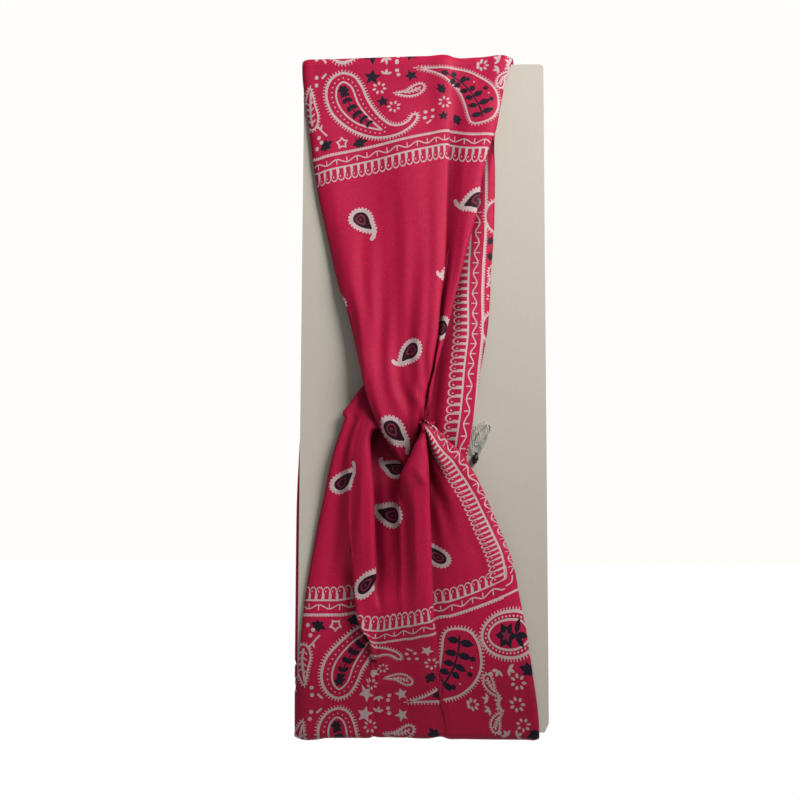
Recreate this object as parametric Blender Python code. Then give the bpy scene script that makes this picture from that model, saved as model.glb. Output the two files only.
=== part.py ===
"""A stretch headband with a twisted front, held open on its display card.

The card stands upright in the XZ plane: X is its width, +Z is up and the front looks along -Y.
Two double-layer straps make one loop round the card's top and bottom edges.  They hook round
each other at the front knot and are sewn together at the middle of the back.
"""
import math

import bmesh
import bpy
import numpy as np

MM = 0.001

# Display card
CARD_WIDTH = 88 * MM
CARD_HEIGHT = 240 * MM
CARD_THICKNESS = 2.4 * MM
CARD_CORNER = 1.0 * MM          # all four corners are eased by this much
CARD_WORN_CORNER = 3 * MM       # the lower right corner is blunted further

# Fabric and clearances
FABRIC = 1.4 * MM               # two layers of satin knit
CLEARANCE = 0.3 * MM            # between neighbouring pieces
KNOT_LAYER = 4.2 * MM           # one gathered strap where it passes behind the other
KNOT_RISE = 10.5 * MM           # the knot's front above the loop's inner surface
SEAM_WIDTH = 6 * MM             # overlocked allowance across the middle of the back
SEAM_THICKNESS = 1.2 * MM

# Nylon tag fastener
TAG_WIRE = 0.7 * MM
TAG_LOOP = (2.6 * MM, 5.6 * MM)             # half width and half height of the loop
TAG_LOOP_CENTRE = (20.6 * MM, -17.5 * MM)   # X, Z
TAG_LOCK = (1.0 * MM, 1.0 * MM, 1.7 * MM)   # half sizes of the bead that closes the loop
TAG_LOCK_CENTRE = (18.7 * MM, -25.1 * MM)
TAG_STANDOFF = 2.6 * MM                     # of both above the loop's inner surface

# Worked-out sizes
HALF_HEIGHT = CARD_HEIGHT / 2
INNER = CARD_THICKNESS / 2 + CLEARANCE      # loop's inner surface from the card's mid-plane
SEAM_LIFT = SEAM_THICKNESS + CLEARANCE      # the straps rise over the seam allowance
BACK_LAYER = KNOT_LAYER + 0.4 * MM          # where the strap that passes in front starts
CARD_Y = (KNOT_RISE - SEAM_LIFT - FABRIC) / 2   # puts the whole depth evenly about Y = 0

# Outlines in millimetres as (Z, X) points from the strap's fold to its end in the knot
UPPER_LEFT = ((120, -44.8), (76, -38.5), (38, -30.4), (1.5, -20.7), (-10.6, -14.9), (-22.2, -5.1))
UPPER_RIGHT = ((120, 32.4), (98, 27.8), (77, 26.0), (43, 24.6), (8, 20.9), (-19.5, 15.5))
UPPER_SLIT_LEFT = ((120, -6.2), (60, -3.0), (6, 1.3), (-8.8, 1.3), (-22.2, -4.9))
UPPER_SLIT_RIGHT = ((120, -4.2), (60, -1.0), (6, 2.2), (-19.5, 4.0))
LOWER_LEFT = ((-120, -44.6), (-68, -40.2), (-36, -34.5), (-16.4, -29.5), (-9.5, -28.4), (1, -21.2))
LOWER_RIGHT = ((-120, 40.6), (-95, 37.2), (-46, 24.2), (-21.9, 14.9), (-18.6, 10.6), (-9.4, 3.8))
LOWER_SLIT_LEFT = ((-120, -6.0), (-60, -6.0), (-26, -5.6), (1, -5.0))
LOWER_SLIT_RIGHT = ((-120, -4.0), (-60, -4.0), (-26, -4.2), (-22.2, -3.9), (-9.4, 2.2))
BACK_LEFT = ((-120, -44.6), (-60, -43.6), (0, -42.8), (60, -43.6), (120, -44.8))
BACK_RIGHT = ((-120, 40.6), (-60, 41.0), (0, 41.2), (60, 39.5), (120, 32.4))

# Heights between which each strap gathers, rises over the other one, sinks under it and tapers
UPPER_GATHER, UPPER_OVER = (105 * MM, 12 * MM), (13 * MM, 3 * MM)
UPPER_UNDER, UPPER_TIP = (4 * MM, -6 * MM), (-8 * MM, -22 * MM)
LOWER_GATHER, LOWER_OVER = (-112 * MM, -34 * MM), (-32 * MM, -21.5 * MM)
LOWER_UNDER, LOWER_TIP = (-33 * MM, -24.5 * MM), (-14 * MM, -9.4 * MM)
SEAM_BUMP = (9 * MM, 3.8 * MM)  # where the back rises over the seam allowance
TIP_THICKNESS = 2.6 * MM        # of the end of the half that passes in front
UPPER_SLIT_TOP = 4 * MM         # the slit between a strap's halves runs from here to its end
LOWER_SLIT_BOTTOM = -26 * MM
UPPER_ENDS = (-22.2 * MM, -19.5 * MM)   # of the left half and of the right half
LOWER_ENDS = (1 * MM, -9.4 * MM)

# Mesh density
LOBE_COLUMNS = 6                # cells across each half of a strap, either side of its slit
FRONT_ROWS = 34
FOLD_ROWS = 8
BACK_ROWS = (3.6 * MM, 7 * MM, 14 * MM, 40 * MM, 80 * MM, HALF_HEIGHT)
SLIT = 2 * MM                   # width of the slit's column where the strap is still whole
RIM = 1.6 * FABRIC              # thickness along a strap's edges, at most


def remove_everything():
    """Start from an empty scene."""
    for old in list(bpy.data.objects):
        bpy.data.objects.remove(old, do_unlink=True)


def material(name, colour, roughness):
    """A plain Principled material."""
    made = bpy.data.materials.new(name)
    made.use_nodes = True
    shader = made.node_tree.nodes["Principled BSDF"]
    shader.inputs["Base Color"].default_value = (*colour, 1.0)
    shader.inputs["Roughness"].default_value = roughness
    shader.inputs["Metallic"].default_value = 0.0
    return made


def add_object(name, mesh_builder, finish, parent, smooth_angle=math.radians(35)):
    """Turn a bmesh into a named object whose faces point outwards."""
    bmesh.ops.recalc_face_normals(mesh_builder, faces=mesh_builder.faces)
    mesh = bpy.data.meshes.new(name)
    mesh_builder.to_mesh(mesh)
    mesh_builder.free()
    mesh.shade_smooth()
    mesh.set_sharp_from_angle(angle=smooth_angle)
    mesh.materials.append(finish)
    made = bpy.data.objects.new(name, mesh)
    bpy.context.scene.collection.objects.link(made)
    made.parent = parent
    return made


def add_empty(name):
    """The origin of a moving group."""
    made = bpy.data.objects.new(name, None)
    bpy.context.scene.collection.objects.link(made)
    return made


def outline(points, z):
    """X on an outline at height z, both in metres."""
    ordered = sorted(points)
    heights = [height * MM for height, _ in ordered]
    places = [place * MM for _, place in ordered]
    return float(np.interp(z, heights, places))


def ramp(value, start, end):
    """0 before start, 1 after end, and smooth between, whichever of the two is larger."""
    part = min(max((value - start) / (end - start), 0.0), 1.0)
    return part * part * (3 - 2 * part)


def loop_rows(side, front_end):
    """Stations along one strap: its back, its fold round the card's edge, then its front.

    side is 1 for the upper strap and -1 for the lower.  Each row is
    (where, z of the outline, y and z of the inner surface, outward y and z).
    """
    rows = []
    seam_edge = CLEARANCE / 2
    for z in (seam_edge, *BACK_ROWS):
        rows.append(("back", side * z, INNER, side * z, 1.0, 0.0))
    for step in range(1, FOLD_ROWS):
        angle = math.pi * step / FOLD_ROWS
        out_y, out_z = math.cos(angle), side * math.sin(angle)
        place_z = side * HALF_HEIGHT + out_z * INNER
        rows.append(("fold", side * HALF_HEIGHT, out_y * INNER, place_z, out_y, out_z))
    for step in range(FRONT_ROWS + 1):
        z = side * HALF_HEIGHT + (front_end - side * HALF_HEIGHT) * step / FRONT_ROWS
        rows.append(("front", z, -INNER, z, -1.0, 0.0))
    return rows


def back_lift(z):
    """Height of the straps' inner surface above the loop's over the seam allowance."""
    return SEAM_LIFT * ramp(abs(z), *SEAM_BUMP)


def upper_lift(z, right_half):
    """Inner and outer height of the upper strap's front at height z."""
    full = KNOT_RISE - 1.5 * MM
    gather = FABRIC + (full - FABRIC) * ramp(z, *UPPER_GATHER)
    if right_half:
        return 0.0, gather + (KNOT_LAYER - gather) * ramp(z, *UPPER_UNDER)
    over = ramp(z, *UPPER_OVER)
    top = gather + (KNOT_RISE - gather) * over
    return BACK_LAYER * over, top + (BACK_LAYER + TIP_THICKNESS - top) * ramp(z, *UPPER_TIP)


def lower_lift(z, right_half):
    """Inner and outer height of the lower strap's front at height z."""
    full = KNOT_RISE - 2.5 * MM
    gather = FABRIC + (full - FABRIC) * ramp(z, *LOWER_GATHER)
    if not right_half:
        return 0.0, gather + (KNOT_LAYER - gather) * ramp(z, *LOWER_UNDER)
    over = ramp(z, *LOWER_OVER)
    top = gather + (KNOT_RISE - gather) * over
    return BACK_LAYER * over, top + (BACK_LAYER + TIP_THICKNESS - top) * ramp(z, *LOWER_TIP)


def strap(name, side, guides, ends, slit_start, lift, finish, parent):
    """One strap as a closed sheet, slit from slit_start to its end so that it can interlock.

    guides are the outlines of its left edge, the slit's two edges and its right edge.
    ends are where its left and right halves stop.
    """
    left, slit_left, slit_right, right = guides
    front_end = min(ends, key=lambda z: side * z)
    rows = loop_rows(side, front_end)
    columns = 2 * LOBE_COLUMNS + 2
    builder = bmesh.new()
    inner, outer = [], []
    for where, z, y, place_z, out_y, out_z in rows:
        if where == "front":
            edges = [outline(guide, z) for guide in (left, slit_left, slit_right, right)]
        else:
            first, last = outline(BACK_LEFT, z), outline(BACK_RIGHT, z)
            middle = outline(slit_left, side * HALF_HEIGHT)
            edges = [first, middle, middle + SLIT, last]
        inner_row, outer_row = [], []
        for column in range(columns):
            right_half = column > LOBE_COLUMNS
            step = (column - LOBE_COLUMNS - 1 if right_half else column) / LOBE_COLUMNS
            start, end = edges[2:] if right_half else edges[:2]
            x = start + (end - start) * step
            if where == "front":
                low, high = lift(z, right_half)
            else:
                low = back_lift(z) if where == "back" else 0.0
                high = low + FABRIC
            rim = column in (0, columns - 1)
            if where == "front" and side * (z - slit_start) <= 0:
                rim = rim or column in (LOBE_COLUMNS, LOBE_COLUMNS + 1)
            if rim:
                high = low + min(high - low, RIM)
            inner_row.append(builder.verts.new(
                (x, CARD_Y + y + out_y * low, place_z + out_z * low)))
            outer_row.append(builder.verts.new(
                (x, CARD_Y + y + out_y * high, place_z + out_z * high)))
        inner.append(inner_row)
        outer.append(outer_row)

    def kept(row, column):
        if not (0 <= row < len(rows) - 1 and 0 <= column < columns - 1):
            return False
        where, z = rows[row + 1][0], rows[row + 1][1]
        if where != "front":
            return True
        if column == LOBE_COLUMNS:
            return side * (z - slit_start) >= 0
        stop = ends[0] if column < LOBE_COLUMNS else ends[1]
        return side * (z - stop) >= -1e-6

    for row in range(len(rows) - 1):
        for column in range(columns - 1):
            if not kept(row, column):
                continue
            corners = ((row, column), (row, column + 1), (row + 1, column + 1), (row + 1, column))
            builder.faces.new([outer[r][c] for r, c in corners])
            builder.faces.new([inner[r][c] for r, c in reversed(corners)])
            beside = ((row - 1, column), (row, column + 1), (row + 1, column), (row, column - 1))
            for index, neighbour in enumerate(beside):
                if kept(*neighbour):
                    continue
                (r0, c0), (r1, c1) = corners[index], corners[(index + 1) % 4]
                builder.faces.new((outer[r0][c0], inner[r0][c0], inner[r1][c1], outer[r1][c1]))
    loose = [vert for vert in builder.verts if not vert.link_faces]
    bmesh.ops.delete(builder, geom=loose, context="VERTS")
    return add_object(name, builder, finish, parent)


def plate(name, corners, y_front, y_back, finish, parent):
    """A flat panel from its outline in X and Z."""
    builder = bmesh.new()
    face = builder.faces.new([builder.verts.new((x, y_front, z)) for x, z in corners])
    grown = bmesh.ops.extrude_face_region(builder, geom=[face])["geom"]
    moved = [item for item in grown if isinstance(item, bmesh.types.BMVert)]
    bmesh.ops.translate(builder, verts=moved, vec=(0, y_back - y_front, 0))
    return add_object(name, builder, finish, parent)


def display_card(finish):
    """The stiff board that the loop is stretched over."""
    w, h, c, worn = CARD_WIDTH / 2, HALF_HEIGHT, CARD_CORNER, CARD_WORN_CORNER
    corners = [(-w, -h + c), (-w, h - c), (-w + c, h), (w - c, h), (w, h - c), (w, -h + worn),
               (w - worn / 2, -h), (-w + c, -h)]
    half = CARD_THICKNESS / 2
    return plate("display_card", corners, CARD_Y - half, CARD_Y + half, finish, None)


def overlock_seam(finish, parent):
    """The thread-bound allowance that joins the straps, on the inside of the back."""
    first, last = outline(BACK_LEFT, 0.0) + MM, outline(BACK_RIGHT, 0.0) - MM
    half = SEAM_WIDTH / 2
    corners = [(first, -half), (first, half), (last, half), (last, -half)]
    near = CARD_Y + INNER
    return plate("overlock_seam", corners, near, near + SEAM_THICKNESS, finish, parent)


def tag_loop(finish, parent):
    """A closed oval of thin nylon."""
    builder = bmesh.new()
    around, sides = 32, 8
    rings = []
    for turn in range(around):
        angle = 2 * math.pi * turn / around
        out_x, out_z = math.cos(angle), math.sin(angle)
        ring = []
        for corner in range(sides):
            tilt = 2 * math.pi * corner / sides
            grow = math.cos(tilt) * TAG_WIRE / 2
            ring.append(builder.verts.new((
                TAG_LOOP_CENTRE[0] + out_x * (TAG_LOOP[0] + grow),
                CARD_Y - INNER - TAG_STANDOFF + math.sin(tilt) * TAG_WIRE / 2,
                TAG_LOOP_CENTRE[1] + out_z * (TAG_LOOP[1] + grow))))
        rings.append(ring)
    for turn in range(around):
        here, beyond = rings[turn], rings[(turn + 1) % around]
        for corner in range(sides):
            after = (corner + 1) % sides
            builder.faces.new((here[corner], here[after], beyond[after], beyond[corner]))
    return add_object("tag_loop", builder, finish, parent)


def tag_lock(finish, parent):
    """The small bead that closes the nylon loop."""
    builder = bmesh.new()
    bmesh.ops.create_uvsphere(builder, u_segments=12, v_segments=8, radius=1.0)
    bmesh.ops.scale(builder, verts=builder.verts, vec=TAG_LOCK)
    centre = (TAG_LOCK_CENTRE[0], CARD_Y - INNER - TAG_STANDOFF, TAG_LOCK_CENTRE[1])
    bmesh.ops.translate(builder, verts=builder.verts, vec=centre)
    return add_object("tag_lock", builder, finish, parent)


def build():
    """Make the card and the headband that slides off it."""
    remove_everything()
    display_card(material("card_board", (0.80, 0.78, 0.72), 0.75))
    band = add_empty("headband")
    upper_finish = material("upper_fabric", (0.62, 0.02, 0.12), 0.55)
    lower_finish = material("lower_fabric", (0.60, 0.02, 0.14), 0.55)
    strap("upper_strap", 1, (UPPER_LEFT, UPPER_SLIT_LEFT, UPPER_SLIT_RIGHT, UPPER_RIGHT),
          UPPER_ENDS, UPPER_SLIT_TOP, upper_lift, upper_finish, band)
    strap("lower_strap", -1, (LOWER_LEFT, LOWER_SLIT_LEFT, LOWER_SLIT_RIGHT, LOWER_RIGHT),
          LOWER_ENDS, LOWER_SLIT_BOTTOM, lower_lift, lower_finish, band)
    overlock_seam(material("seam_thread", (0.50, 0.02, 0.10), 0.8), band)
    tag_loop(material("clear_nylon", (0.85, 0.87, 0.88), 0.2), band)
    tag_lock(material("black_nylon", (0.02, 0.02, 0.03), 0.4), band)


build()
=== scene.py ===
"""The looks of a twist-front printed headband, stretched round its upright display card."""
import math

import bmesh
import bpy
import numpy as np
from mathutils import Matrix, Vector, geometry


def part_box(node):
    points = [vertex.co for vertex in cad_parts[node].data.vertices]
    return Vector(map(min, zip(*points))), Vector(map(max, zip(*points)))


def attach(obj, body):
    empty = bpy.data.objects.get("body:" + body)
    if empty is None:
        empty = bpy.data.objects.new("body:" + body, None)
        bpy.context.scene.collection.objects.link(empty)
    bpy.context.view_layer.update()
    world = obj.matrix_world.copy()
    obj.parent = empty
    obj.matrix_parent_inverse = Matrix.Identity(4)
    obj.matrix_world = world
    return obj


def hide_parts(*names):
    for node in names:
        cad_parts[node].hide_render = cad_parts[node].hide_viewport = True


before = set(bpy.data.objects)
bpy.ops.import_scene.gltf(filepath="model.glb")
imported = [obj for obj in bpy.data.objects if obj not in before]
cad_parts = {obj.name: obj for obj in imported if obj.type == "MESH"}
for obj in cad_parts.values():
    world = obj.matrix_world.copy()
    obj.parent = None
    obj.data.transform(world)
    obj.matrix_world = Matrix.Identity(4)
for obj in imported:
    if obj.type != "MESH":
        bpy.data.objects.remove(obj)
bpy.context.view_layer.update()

MM = 0.001
CARD_LOW, CARD_HIGH = (np.array(corner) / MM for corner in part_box("display_card"))
FACE_Y, BACK_Y = CARD_LOW[1], CARD_HIGH[1]
MID_Y, HALF_CARD = (FACE_Y + BACK_Y) / 2, (BACK_Y - FACE_Y) / 2
EDGE = CARD_HIGH[2]                     # height of the card's top edge; the bottom one mirrors it
FOLD = math.pi * (HALF_CARD + 0.7)      # path length of the cloth round that edge
SEAM_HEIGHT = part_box("overlock_seam")[1][1] / MM - BACK_Y + 0.25    # of the cloth over the seam
SEAM = EDGE * 2 + FOLD - 0.05           # path length from the knot's level to the back seam

# ---------------------------------------------------------------- camera, light and floor

SURROUND_LIGHT = 0.13   # how strongly the surround lights the object; the camera sees it white


def add_object(name, data):
    """A new object in the scene that holds the given mesh, light or camera."""
    made = bpy.data.objects.new(name, data)
    bpy.context.scene.collection.objects.link(made)
    return made


def make_camera():
    """In front of the card, a little below its middle and to its right."""
    azimuth, elevation, roll = math.radians(2.1), math.radians(-5.7), math.radians(0.2)
    distance = 0.4355
    target = Vector((-0.0081, 0.0, -0.0041))
    away = Vector((math.sin(azimuth) * math.cos(elevation),
                   -math.cos(azimuth) * math.cos(elevation), math.sin(elevation)))
    camera = add_object("camera", bpy.data.cameras.new("camera"))
    camera.data.lens = 55
    camera.location = target + away * distance
    turn = (-away).to_track_quat("-Z", "Y")
    camera.rotation_euler = turn.to_euler()
    camera.rotation_euler.rotate_axis("Z", roll)
    bpy.context.scene.camera = camera


def add_light(name, place, target, size, power, colour=(1, 1, 1), spread=180):
    """A square soft box that faces its target and shines within `spread` degrees."""
    data = bpy.data.lights.new(name, "AREA")
    data.size, data.energy, data.color = size, power, colour
    data.spread = math.radians(spread)
    lamp = add_object(name, data)
    lamp.location = place
    lamp.rotation_euler = (Vector(target) - Vector(place)).to_track_quat("-Z", "Y").to_euler()


def make_floor():
    """A pale floor that looks white to the camera and throws little light back."""
    bpy.ops.mesh.primitive_plane_add(size=6, location=(0, 0, -0.16))
    floor = bpy.context.object
    floor.name = "floor"
    coat = bpy.data.materials.new("floor_white")
    coat.use_nodes = True
    nodes, links = coat.node_tree.nodes, coat.node_tree.links
    nodes.clear()
    out, either, glow, dull, path = (nodes.new("ShaderNode" + kind) for kind in (
        "OutputMaterial", "MixShader", "Emission", "BsdfDiffuse", "LightPath"))
    glow.inputs["Strength"].default_value = 1.0
    dull.inputs["Color"].default_value = (0.5, 0.5, 0.5, 1)
    links.new(path.outputs["Is Camera Ray"], either.inputs[0])
    links.new(dull.outputs[0], either.inputs[1])
    links.new(glow.outputs[0], either.inputs[2])
    links.new(either.outputs[0], out.inputs["Surface"])
    floor.data.materials.append(coat)


def make_studio():
    """A pale floor, a white surround and a soft key light from the upper right."""
    scene = bpy.context.scene
    scene.view_settings.view_transform = "Standard"
    world = bpy.data.worlds.new("studio")
    scene.world = world
    world.use_nodes = True
    tree = world.node_tree
    back = tree.nodes["Background"]
    back.inputs["Color"].default_value = (1.0, 0.99, 0.97, 1)
    rays = tree.nodes.new("ShaderNodeLightPath")
    strength = tree.nodes.new("ShaderNodeMix")
    tree.links.new(rays.outputs["Is Camera Ray"], strength.inputs["Factor"])
    strength.inputs["A"].default_value = SURROUND_LIGHT
    strength.inputs["B"].default_value = 1.0
    tree.links.new(strength.outputs["Result"], back.inputs["Strength"])
    make_floor()
    add_light("key", (0.31, -0.28, 0.34), (0.02, 0, 0.08), 0.28, 0.53, (1.0, 0.975, 0.94), 72)
    add_light("back_fill", (-0.35, 0.55, 0.35), (0, 0, 0), 0.5, 4.5)


# ---------------------------------------------------------------- curves through listed points


def cubic(t, span, low, high, slope_low, slope_high):
    """Value at t (0 to 1) of the cubic over a span, from the values and slopes at its two ends."""
    return ((1 + 2 * t) * (1 - t) ** 2 * low + t * (1 - t) ** 2 * span * slope_low
            + t * t * (3 - 2 * t) * high + t * t * (t - 1) * span * slope_high)


def profile(at, points):
    """A smooth curve through (place, value) points that never overshoots them."""
    points = sorted(points)
    place = np.array([p for p, _ in points], float)
    value = np.array([v for _, v in points], float)
    step, slope = np.diff(place), np.diff(value) / np.diff(place)
    tangent = np.zeros(len(place))
    tangent[0], tangent[-1] = slope[0], slope[-1]
    for i in range(1, len(place) - 1):
        if slope[i - 1] * slope[i] > 0:
            w1, w2 = 2 * step[i] + step[i - 1], step[i] + 2 * step[i - 1]
            tangent[i] = (w1 + w2) / (w1 / slope[i - 1] + w2 / slope[i])
    at = np.clip(np.asarray(at, float), place[0], place[-1])
    cell = np.clip(np.searchsorted(place, at, side="right") - 1, 0, len(step) - 1)
    h = step[cell]
    t = (at - place[cell]) / h
    return cubic(t, h, value[cell], value[cell + 1], tangent[cell], tangent[cell + 1])


def settle(at, points):
    """A profile that levels out at its last point and keeps that value from there on."""
    place, value = points[-1]
    return profile(at, points + [(place + 50, value)])


def reach(level, points):
    """A path along a rib: listed near the knot, and the level itself beyond the last point."""
    return np.where(level > points[-1][0], level, profile(level, points))


def ramp(value, start, end):
    """0 before start, 1 after end, smooth between."""
    t = np.clip((np.asarray(value, float) - start) / (end - start), 0, 1)
    return t * t * (3 - 2 * t)


def mix(a, b, t):
    return a + (b - a) * t


def circle(count, start=0.0):
    """Points round a circle of radius 1, the first at the angle `start`."""
    turn = np.arange(count) / count * 2 * math.pi + start
    return np.stack([np.cos(turn), np.sin(turn)], axis=1)


def heading(line, closed):
    """The direction of a line at each of its points."""
    return np.roll(line, -1, axis=0) - np.roll(line, 1, axis=0) if closed else np.gradient(line, axis=0)


def on_loop(path, height):
    """y and z of a point `height` above the card, `path` up from the knot, over the card's edge."""
    angle = np.clip((path - EDGE) / FOLD, 0, 1) * math.pi
    radius = HALF_CARD + height
    y = MID_Y - radius * np.cos(angle)
    z = np.minimum(path, EDGE) + radius * np.sin(angle) - np.maximum(path - EDGE - FOLD, 0)
    return y, z


# ---------------------------------------------------------------- the straps' shape
# A strap is described by ribs that run along it.  Each rib has, at every level along the flat
# cloth: its place across the flat cloth, its place across the card, its path and its height.
# Levels and paths start at the knot; tables are listed (level, value) points in millimetres.
# The upper strap has two pleats, B and then A towards the right.  The lower one has pleat 2
# (low down, on the left), pleat 1, a lip that opens the pocket beside the knot, and pleat 3.


class Ribs:
    """Collects ribs from left to right."""

    def __init__(self, level):
        self.level = level
        self.rows = []

    def add(self, flat, across, height, path):
        blank = np.zeros_like(self.level)
        self.rows.append([blank + flat, blank + across, blank + path, blank + height])

    def pleat(self, edge, hidden, top, under, path, path_under=None, sign=1, longest=7.5):
        """The cloth turns back under a fold line, then comes forward again below it.

        edge is (flat, across) of the fold line; sign -1 turns the fold the other way, and
        longest limits how far in the hidden cloth reaches.
        Where little cloth is hidden the pleat opens out flat.
        """
        flat, across = edge
        path_under = path if path_under is None else path_under
        leg = hidden / 2
        tuck = np.minimum(leg * 0.9, longest)
        depth = np.maximum(top - under, 0.05)
        curl = np.minimum(0.9, leg * 0.45)
        closed = ramp(hidden, 0.6, 2.8)
        steps = [(-curl, -curl * 0.9, top, 0.0),
                 (0, 0, top - depth * 0.16, 0.1),
                 (curl, -curl * 0.7, top - depth * 0.42, 0.3),
                 (leg, -tuck, (top + under) / 2 - depth * 0.10, 0.6),
                 (hidden - curl * 0.5, -curl * 0.6, under + depth * 0.06, 1.0)]
        if sign < 0:
            steps = [(hidden - u, -x, h, part) for u, x, h, part in reversed(steps)]
            top, under, path, path_under = under, top, path_under, path
        for order, (u, x, h, part) in enumerate(steps):
            share = (order + 0.5) / 5
            run = mix(path, path_under, part if sign > 0 else 1 - part)
            open_x = u - (0 if sign > 0 else hidden)
            self.add(flat + u, across + mix(open_x, x, closed), mix(mix(top, under, share), h, closed), run)

    def edge(self, flat, across, height, side, path, lift=0.0):
        """A long side of the strap, rolled under; side is -1 on the left and 1 on the right."""
        rows = [(flat - side * out, across + side * shift, np.maximum(height + drop, lift + 0.25))
                for out, shift, drop in ((0.9, -0.75, 0.0), (0.0, 0.0, -0.45), (-0.9, -0.55, -0.95))]
        rows.append((flat + side * 4.5, across - side * 4.0, np.maximum(lift + 0.2, height - 1.6)))
        for place, x, h in (rows if side > 0 else rows[::-1]):
            self.add(place, x, h, path)

    def table(self):
        """Arrays of flat place, across, path and height: one row per rib."""
        rows = [np.array([rib[i] for rib in self.rows]) for i in range(4)]
        rows[0] = np.maximum.accumulate(rows[0] + 1e-3 * np.arange(len(self.rows))[:, None], axis=0)
        return rows


TUCK_LOW, TUCK_HIGH = (-3.9, -32.0), (1.5, -14.0)    # the line where the upper strap dives in
DIVE_LEVEL = 6.0                        # where the upper strap starts to turn into the knot
UPPER_END, LOWER_END = -28.0, -6.0      # levels where the two cloths end, hidden in the knot


def upper_plan(level):
    """Places across the card of the left side, folds B and A, and the right side."""
    flat_level = np.maximum(level, DIVE_LEVEL)
    left = profile(flat_level, [
        (6, -21.9), (9.5, -22.8), (28.5, -27.2), (38.7, -30.6), (57.2, -34.6), (76.4, -38.5),
        (100.3, -42.0), (119.5, -44.7), (126, -44.7), (170, -43.6), (245, -42.8)])
    fold_b = profile(flat_level, [
        (6, 3.3), (10.5, 4.1), (19, 5.5), (30, 6.5), (43.5, 8.1), (66, 9.0), (88, 9.7), (106, 9.8),
        (122, 10.2), (140, 8.0), (245, 6.0)])
    fold_a = profile(flat_level, [
        (6, 4.7), (16, 7.4), (26.4, 10.2), (35, 12.4), (46, 15.3), (62, 19.5), (75, 21.9), (83.5, 24.2),
        (91, 26.6), (98, 27.8), (107, 29.2), (119.5, 32.2), (128, 33.6), (160, 26.0), (245, 24.0)])
    right = profile(level, [
        (-20, 15.3), (-4, 19.0), (8, 20.9), (24, 23.5), (43, 24.7), (57, 25.7), (77, 26.1), (84, 25.9),
        (91, 26.2), (106, 28.4), (119.5, 31.0), (128, 33.0), (170, 39.0), (245, 41.2)])
    return left, fold_b, fold_a, right


def upper_flat(level):
    """Places on the flat cloth of the same lines, the cloth hidden in B and the strip right of A."""
    flat_left = settle(level, [
        (-20, -25), (-8, -26.5), (3, -29), (15, -31.5), (35, -36), (60, -41), (86, -43), (122, -43.5)])
    flat_b = settle(level, [
        (-20, -14), (-8, -8.5), (3, 0.5), (15, 4), (35, 3.5), (60, 4.8), (86, 7.5), (104, 8.6), (122, 9.5),
        (150, 7.0)])
    hidden_b = settle(level, [
        (-20, 14), (-8, 13), (3, 9), (15, 8), (35, 7), (60, 6), (86, 3), (98, 0.8), (122, 1.2), (150, 0.6)])
    flat_a = profile(level, [
        (-20, 6), (-8, 9), (3, 12.5), (15, 16), (35, 17.5), (60, 22.2), (75, 24.5), (86, 26), (98, 27.5),
        (122, 31.5), (160, 26.5), (245, 25)])
    strip = profile(level, [
        (-20, 14), (3, 16), (6, 15.3), (15, 14.7), (35, 11.8), (60, 6.8), (75, 4.4), (88, 1.0), (104, 0.6),
        (122, 0.8), (150, 9.0), (170, 14.0), (245, 17.0)])
    flat_right = profile(level, [
        (-20, 42.5), (3, 43.8), (15, 44.5), (35, 46), (86, 46.3), (104, 45.0), (122, 44.0), (245, 43.5)])
    return flat_left, flat_b, hidden_b, flat_a, strip, flat_right


def upper_heights(level):
    """Heights above the card of the left side and of both folds, above and below."""
    edge_high = settle(level, [
        (-20, 8.0), (-8, 8.8), (3, 8.2), (15, 6.0), (35, 3.6), (60, 2.2), (86, 1.6), (104, 1.4)])
    edge_lift = settle(level, [(-20, 5.5), (-2, 5.2), (8, 4.0), (16, 0.6), (24, 0.0)])
    top_b = settle(level, [
        (-20, 9), (-8, 10.6), (5, 10.4), (20, 9.0), (40, 6.8), (60, 5.0), (86, 3.6), (104, 2.4), (119, 2.6),
        (124, 2.6), (150, 1.4)])
    under_b = top_b - settle(level, [
        (-20, 2.0), (10, 3.2), (40, 2.6), (80, 1.7), (100, 0.5), (122, 0.6), (150, 0.05)])
    top_a = settle(level, [
        (-20, 7.6), (-8, 9.4), (5, 9.6), (20, 8.6), (40, 6.8), (60, 5.4), (86, 4.0), (104, 3.0), (119, 2.0),
        (130, 1.6), (160, 1.4)])
    under_a = profile(level, [(-20, 3.4), (5, 3.6), (20, 3.2), (40, 2.4), (60, 1.8), (86, 1.4), (245, 1.2)])
    return edge_high, edge_lift, top_b, under_b, top_a, under_a


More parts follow.
